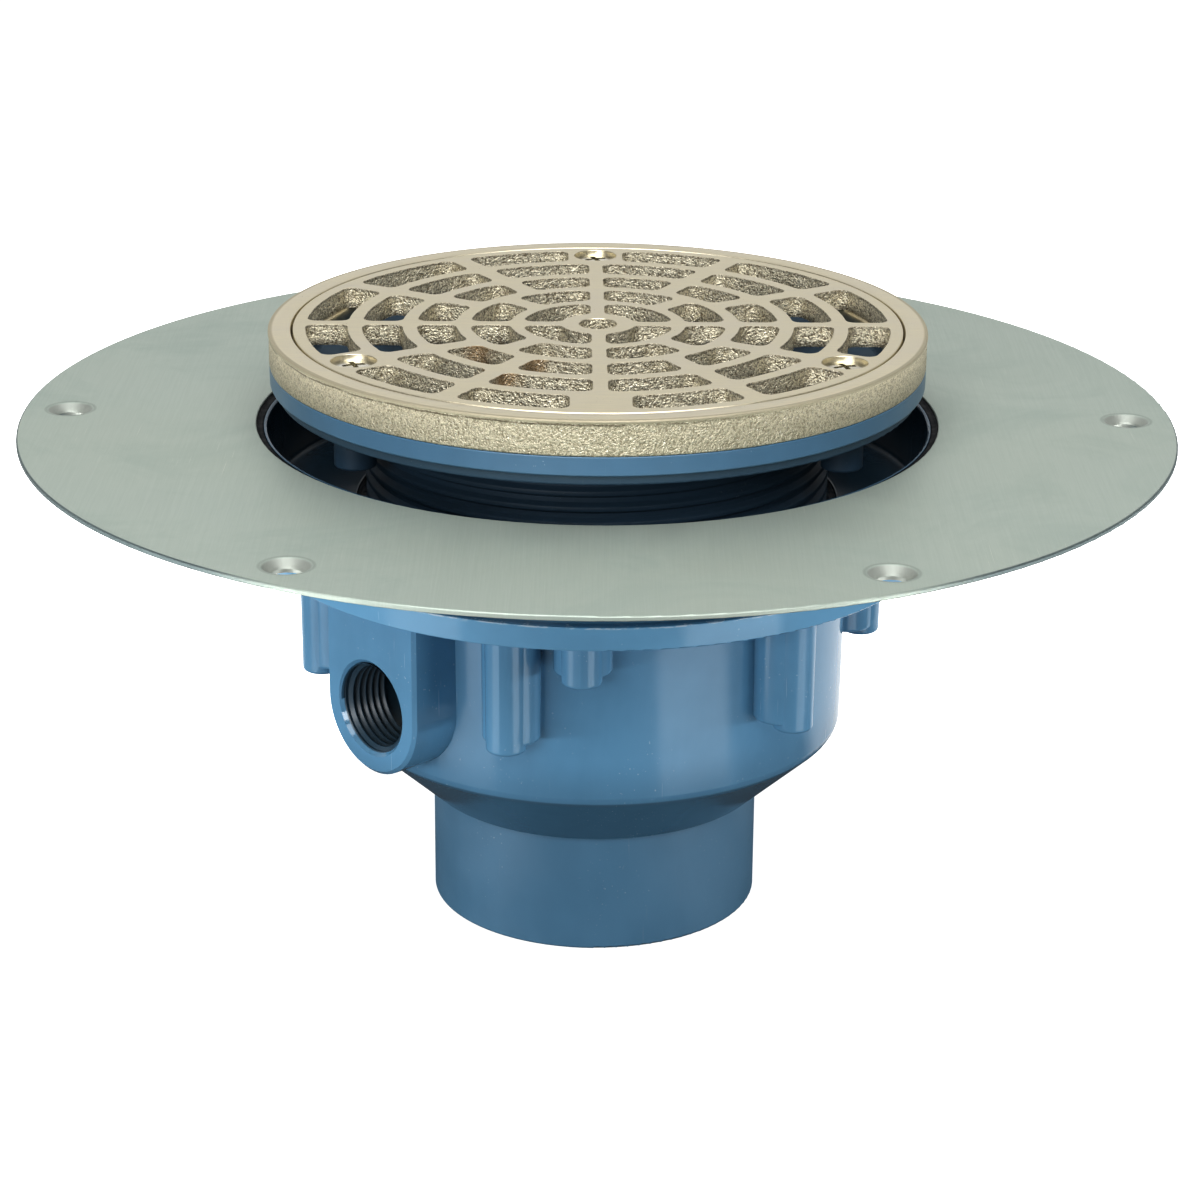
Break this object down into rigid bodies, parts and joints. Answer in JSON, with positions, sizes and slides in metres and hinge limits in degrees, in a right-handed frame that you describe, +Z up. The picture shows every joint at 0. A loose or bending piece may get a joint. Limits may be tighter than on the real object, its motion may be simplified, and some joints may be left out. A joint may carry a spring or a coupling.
{
  "type": "floor drain",
  "caption": "Adjustable round floor drain: screwed-in grated head over a blue PVC bowl with a wide thin steel deck flange, a side tap and a pipe outlet.",
  "frame": {"origin": "centre of the outlet's lower end, on the drain's axis", "axes": "+Z up along the drain's axis towards the grate, -Y towards the front, where the picture was taken from, +X to the right"},
  "size_m": [0.2684, 0.2684, 0.1415],
  "materials": {
    "pvc_body": "moulded, semi-gloss",
    "pvc_collar": "moulded, semi-gloss",
    "stainless_sheet": "satin mill finish",
    "black_sealant": "smooth",
    "pvc_head": "moulded, semi-gloss",
    "seal_rubber": "smooth",
    "bronze_ring": "machined top, sand-cast side",
    "bronze_grate": "ground top, sand-cast walls",
    "screw_steel": "bright",
    "insert_brass": "machined"
  },
  "bodies": {
    "base": {"drain_body": "pvc_body", "flange_collar": "pvc_collar", "deck_flange": "stainless_sheet", "flange_seal": "black_sealant"},
    "seal": {"neck_seal": "seal_rubber"},
    "head": {"adjustable_head": "pvc_head", "top_ring": "bronze_ring", "grate": "bronze_grate", "grate_screws": "screw_steel", "screw_inserts": "insert_brass"}
  },
  "joints": [
    {"name": "head_lift", "type": "slide", "parent": "base", "child": "seal", "axis": [0, 0, 1], "range_m": [-0.00727, 0.0109]},
    {"name": "head_turn", "type": "hinge", "parent": "seal", "child": "head", "pos_m": [0, 0, 0.0807], "axis": [0, 0, 1], "range_deg": [-720, 1080]}
  ],
  "couplings": [
    {"joint": "head_lift", "follows": "head_turn", "m_per_rad": 0.00057773}
  ]
}
